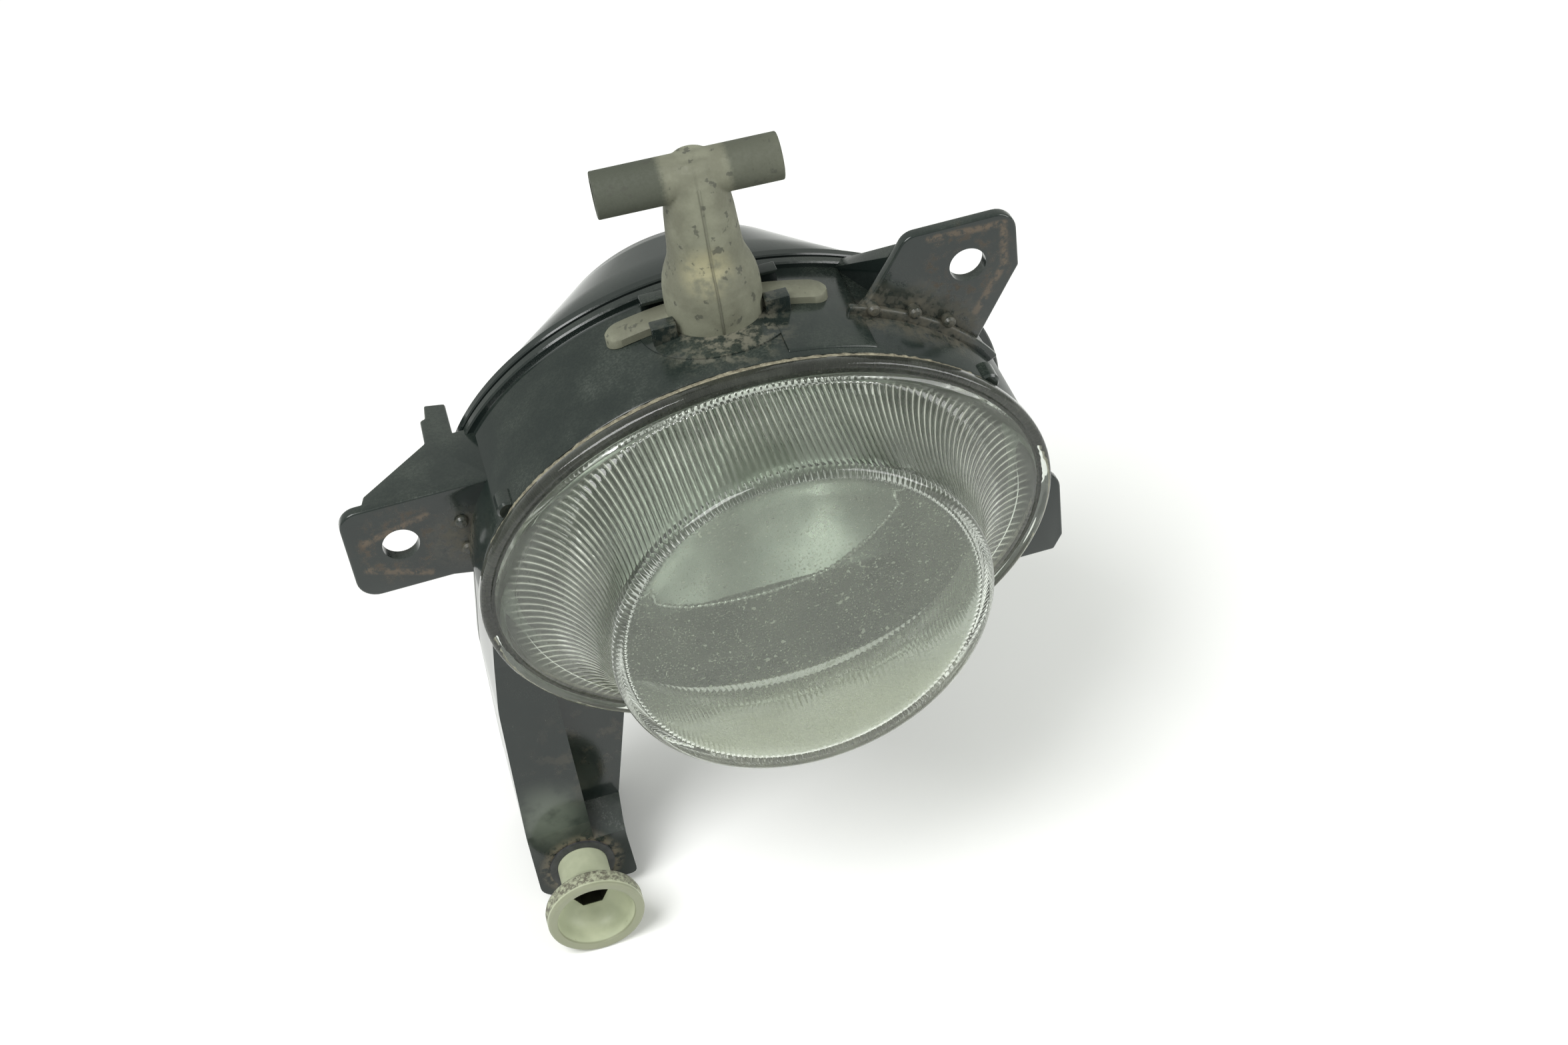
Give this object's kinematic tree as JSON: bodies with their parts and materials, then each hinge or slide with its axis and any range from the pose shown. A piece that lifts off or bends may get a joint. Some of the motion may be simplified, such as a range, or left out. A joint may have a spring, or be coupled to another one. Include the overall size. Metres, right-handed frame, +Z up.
{
  "type": "automotive fog light",
  "caption": "Front fog light with an oval housing, fluted round-nosed glass lens, three bolt brackets, tee breather, tilting reflector and aiming screw.",
  "frame": {"origin": "centre of the left bolt hole, at the front face of the bracket plates", "axes": "+X to the viewer's right when facing the lens, +Y backwards along the optical axis (the lens faces -Y), +Z up"},
  "size_m": [0.1382, 0.1118, 0.1601],
  "materials": {
    "housing": "glossy, dusty",
    "seam_rubber": "matte",
    "lens_glass": "pressed, fluted, slightly dusty",
    "sealant": "matte",
    "breather_rubber": "matte, dusty",
    "steel": "satin",
    "bush_plastic": "matte",
    "mirror_metal": "vacuum-metallised",
    "white_nylon": "matte",
    "bulb_plastic": "matte",
    "seal_rubber": "matte",
    "clear_glass": "clear",
    "tungsten": "dull",
    "terminal_brass": "satin",
    "pale_nylon": "satin, dirty",
    "cap_plastic": "satin"
  },
  "bodies": {
    "housing": {"front_housing": "housing", "rear_housing": "housing", "seam_seal": "seam_rubber", "lens": "lens_glass", "lens_sealant": "sealant", "breather_tee": "breather_rubber", "pivot_pins": "steel", "adjuster_bush": "bush_plastic"},
    "reflector": {"reflector": "mirror_metal", "pivot_bushes": "white_nylon"},
    "bulb": {"bulb_base": "bulb_plastic", "bulb_seal": "seal_rubber", "bulb_collar": "steel", "bulb_glass": "clear_glass", "bulb_filament": "tungsten", "bulb_lead_posts": "steel", "bulb_contacts": "terminal_brass"},
    "adjuster": {"adjuster_knob": "pale_nylon", "adjuster_screw": "steel", "adjuster_shaft_seal": "seal_rubber", "adjuster_clip": "steel"},
    "nut": {"adjuster_nut": "white_nylon"},
    "rear_cap": {"rear_cap": "cap_plastic", "rear_cap_seal": "seal_rubber", "connector_terminals": "terminal_brass"}
  },
  "joints": [
    {"name": "adjuster_spin", "type": "hinge", "parent": "housing", "child": "adjuster", "pos_m": [0.017, -0.011, -0.0867], "axis": [0, 1, 0], "range_deg": [-900, 900]},
    {"name": "nut_travel", "type": "slide", "parent": "housing", "child": "nut", "axis": [0, 1, 0], "range_m": [-0.00315, 0.00315]},
    {"name": "reflector_tilt", "type": "hinge", "parent": "housing", "child": "reflector", "pos_m": [0.0658, 0.006, -0.0072], "axis": [1, 0, 0], "range_deg": [-2.3, 2.3]},
    {"name": "bulb_twist", "type": "hinge", "parent": "reflector", "child": "bulb", "pos_m": [0.0658, 0.036, -0.0072], "axis": [0, -1, 0], "range_deg": [0, 45]},
    {"name": "cap_twist", "type": "hinge", "parent": "housing", "child": "rear_cap", "pos_m": [0.0658, 0.048, -0.0072], "axis": [0, -1, 0], "range_deg": [0, 40]}
  ],
  "couplings": [
    {"joint": "nut_travel", "follows": "adjuster_spin", "m_per_rad": 0.00019894},
    {"joint": "reflector_tilt", "follows": "adjuster_spin", "ratio": 0.0025024}
  ]
}
